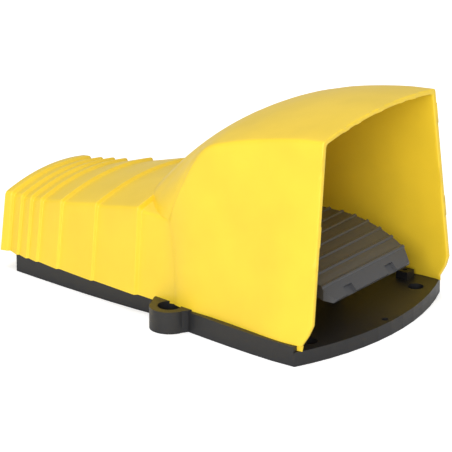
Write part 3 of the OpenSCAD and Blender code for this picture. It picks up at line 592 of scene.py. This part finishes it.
class OBJECT_OT_foot_switch_cover(bpy.types.Operator):
    """Build the one-piece cover: a stepped housing that rises into an open hood"""

    bl_idname = "object.foot_switch_cover"
    bl_label = "Cover"

    def execute(self, context):
        sizes = context.scene.foot_switch_cover
        section = Section(sizes)
        outer = [mirrored(p) for p in cover_sheet(section, sizes, 0.0)]
        flush = [mirrored(p) for p in cover_sheet(section, sizes, sizes.wall)]
        skip = len(outer) - len(flush)
        n, w = len(outer), len(outer[0])
        verts = [tuple(v) for s in outer for v in s]
        faces = [tuple(range(w))]
        for i in range(n - 1):
            for k in range(w - 1):
                a, b = i * w + k, (i + 1) * w + k
                faces.append((a, b, b + 1, a + 1))
        start = len(verts)
        verts += [tuple(v) for s in flush for v in s]
        m = len(flush)
        faces.append(tuple(start + k for k in range(w - 1, -1, -1)))
        for i in range(m - 1):
            for k in range(w - 1):
                a, b = start + i * w + k, start + (i + 1) * w + k
                faces.append((a, a + 1, b + 1, b))
        # Front rim
        o, q = (n - 1) * w, start + (m - 1) * w
        for k in range(w - 1):
            faces.append((o + k, q + k, q + k + 1, o + k + 1))
        # Feet: each outer foot turns in and down to the inner foot of its own station
        for k, side in ((0, 1), (w - 1, -1)):
            ring = []
            for i in range(n):
                x, y, z = outer[i][k]
                t = min(max((y + 32) / 26, 0), 1)
                half = min(base_half(y), abs(x))
                inner_x = mix(abs(x) - 1.8, half - 4.0, t)
                low = mix(FLOOR_TOP + 0.2, z + 2.6, t)
                ring.append((len(verts), len(verts) + 1))
                verts.append((side * inner_x, y, z))
                verts.append((side * inner_x, y, low))
            for i in range(n - 1):
                a, b = i * w + k, (i + 1) * w + k
                (p0, p1), (r0, r1) = ring[i], ring[i + 1]
                j = max(i - skip, 0)
                c, d = start + j * w + k, start + max(i + 1 - skip, 0) * w + k
                quads = [(a, p0, r0, b), (p0, p1, r1, r0), (p1, c, d, r1) if c != d else (p1, c, r1)]
                faces += [q if side > 0 else tuple(reversed(q)) for q in quads]
            a, c, q0, q1 = (n - 1) * w + k, start + (m - 1) * w + k, *ring[-1]
            faces.append((a, q0, q1, c) if side < 0 else (a, c, q1, q0))
            a, c, q0, q1 = k, start + k, *ring[0]
            if k == 0:
                first = (a, c, q0, q1)
            else:
                faces.append((first[0], first[2], q0, a))
                faces.append((first[2], first[3], q1, q0))
                faces.append((first[3], first[1], c, q1))
        cover = new_object("cover_shell", verts, faces)
        outward(cover)
        rim = {tuple(np.round(np.array(v) * MM, 7)) for v in verts[o : o + w]}
        rim |= {tuple(np.round(np.array(v) * MM, 7)) for v in verts[q : q + w]}
        mesh = bmesh.new()
        mesh.from_mesh(cover.data)
        edges = [
            e
            for e in mesh.edges
            if all(tuple(np.round(np.array(v.co), 7)) in rim for v in e.verts)
            and e.calc_face_angle(0) > RIM_EDGE_ANGLE
        ]
        bmesh.ops.bevel(
            mesh,
            geom=edges,
            offset=sizes.rim_round * MM,
            segments=3,
            profile=0.5,
            affect="EDGES",
        )
        mesh.to_mesh(cover.data)
        mesh.free()
        shade(cover, 32)
        finished(cover, finish_of("yellow_abs"), "base", "cover")
        return {"FINISHED"}


def base_half(y):
    """Half width of the base behind its lugs."""
    return BASE_HALF - BASE_TAPER * (max(y - BASE_FRONT_Y, 0) / (BASE_REAR_Y - BASE_FRONT_Y)) ** 1.5


# ---------------------------------------------------------------- stage
FLOOR_HALF = 9000
# Each lamp: name, place and size in metres, power in watts
LAMPS = (
    ("key", (-2.4, -0.9, 1.1), 1.6, 52.0),
    ("top", (0.3, 0.2, 2.6), 1.8, 20.0),
    ("front", (-0.6, -2.6, 0.9), 1.2, 14.0),
)
LAMP_AIM = Vector((0, 0, 0.06))
# A long lens from far off, so that the part's edges stay nearly parallel
CAMERA_PLACE, CAMERA_AIM, LENS_MM = (-3.4728, -2.5121, 1.6539), Vector((-0.0009, -0.009, 0.0465)), 557.5


class OBJECT_OT_foot_switch_stage(bpy.types.Operator):
    """Set the floor, the soft studio lamps and the camera"""

    bl_idname = "object.foot_switch_stage"
    bl_label = "Stage"

    def execute(self, context):
        material = bpy.data.materials.new("white_studio_floor")
        material.use_nodes = True
        tree = material.node_tree
        tree.nodes.clear()
        # Seen directly the floor is lifted towards white; it still takes the object's soft shadow
        ray = add(tree, "ShaderNodeLightPath")
        paint = add(tree, "ShaderNodeBsdfDiffuse", values={"Color": linear("#EDEDED")})
        glow = add(tree, "ShaderNodeEmission", values={"Color": linear("#FFFFFF"), "Strength": 0.45})
        none = add(tree, "ShaderNodeEmission", values={"Strength": 0.0})
        seen = add(
            tree,
            "ShaderNodeMixShader",
            {0: ray.outputs["Is Camera Ray"], 1: none.outputs[0], 2: glow.outputs[0]},
        )
        both = add(tree, "ShaderNodeAddShader", {0: paint.outputs[0], 1: seen.outputs[0]})
        add(tree, "ShaderNodeOutputMaterial", {"Surface": both.outputs[0]})
        corners = [(x * FLOOR_HALF, y * FLOOR_HALF, 0) for x, y in ((-1, -1), (1, -1), (1, 1), (-1, 1))]
        floor = new_object("floor", corners, [(0, 1, 2, 3)])
        # Just under the base, so that the two faces don't fight
        floor.location.z = -0.0002
        floor.data.materials.append(material)

        world = bpy.data.worlds.new("studio")
        context.scene.world = world
        world.use_nodes = True
        tree = world.node_tree
        tree.nodes.clear()
        ray = add(tree, "ShaderNodeLightPath")
        soft = add(tree, "ShaderNodeBackground", values={"Color": linear("#FFFFFF"), "Strength": 0.5})
        white = add(tree, "ShaderNodeBackground", values={"Color": linear("#FFFFFF"), "Strength": 1.0})
        seen = add(
            tree,
            "ShaderNodeMixShader",
            {0: ray.outputs["Is Camera Ray"], 1: soft.outputs[0], 2: white.outputs[0]},
        )
        add(tree, "ShaderNodeOutputWorld", {"Surface": seen.outputs[0]})

        for name, place, size, power in LAMPS:
            lamp = bpy.data.lights.new(name, "AREA")
            lamp.shape = "DISK"
            lamp.size = size
            lamp.energy = power
            obj = bpy.data.objects.new(name, lamp)
            obj.location = place
            obj.rotation_euler = (LAMP_AIM - Vector(place)).to_track_quat("-Z", "Y").to_euler()
            context.scene.collection.objects.link(obj)

        lens = bpy.data.cameras.new("camera")
        lens.lens = LENS_MM
        lens.sensor_width = 36
        lens.clip_end = 50
        camera = bpy.data.objects.new("camera", lens)
        camera.location = CAMERA_PLACE
        camera.rotation_euler = (CAMERA_AIM - camera.location).to_track_quat("-Z", "Y").to_euler()
        context.scene.collection.objects.link(camera)
        context.scene.camera = camera
        context.scene.view_settings.view_transform = "Standard"
        return {"FINISHED"}


class OBJECT_OT_foot_switch_fittings(bpy.types.Operator):
    """Finish the CAD pieces that keep their own shape"""

    bl_idname = "object.foot_switch_fittings"
    bl_label = "Fittings"

    def execute(self, context):
        slots = {s["node"]: s["material_slot"] for s in frame["record"]["subparts"]}
        for node, obj in frame["nodes"].items():
            obj.data.materials.clear()
            obj.data.materials.append(finish_of(SLOT_FINISH[slots[node]]))
        return {"FINISHED"}


class VIEW3D_PT_foot_switch(bpy.types.Panel):
    """Lists the pieces of the foot switch"""

    bl_label = "Foot Switch"
    bl_idname = "VIEW3D_PT_foot_switch"
    bl_space_type = "VIEW_3D"
    bl_region_type = "UI"
    bl_category = "Foot Switch"

    def draw(self, context):
        for operator in OPERATORS:
            self.layout.operator(operator.bl_idname)


OPERATORS = (
    OBJECT_OT_foot_switch_fittings,
    OBJECT_OT_foot_switch_cover,
    OBJECT_OT_foot_switch_stage,
)
CLASSES = (FinishSizes, CoverSizes) + OPERATORS + (VIEW3D_PT_foot_switch,)


def register():
    for cls in CLASSES:
        bpy.utils.register_class(cls)
    bpy.types.Scene.foot_switch_finish = bpy.props.PointerProperty(type=FinishSizes)
    bpy.types.Scene.foot_switch_cover = bpy.props.PointerProperty(type=CoverSizes)


def unregister():
    del bpy.types.Scene.foot_switch_cover
    del bpy.types.Scene.foot_switch_finish
    for cls in reversed(CLASSES):
        bpy.utils.unregister_class(cls)


def main():
    register()
    bpy.ops.object.foot_switch_fittings()
    bpy.ops.object.foot_switch_cover()
    bpy.ops.object.foot_switch_stage()


if __name__ == "__main__":
    main()
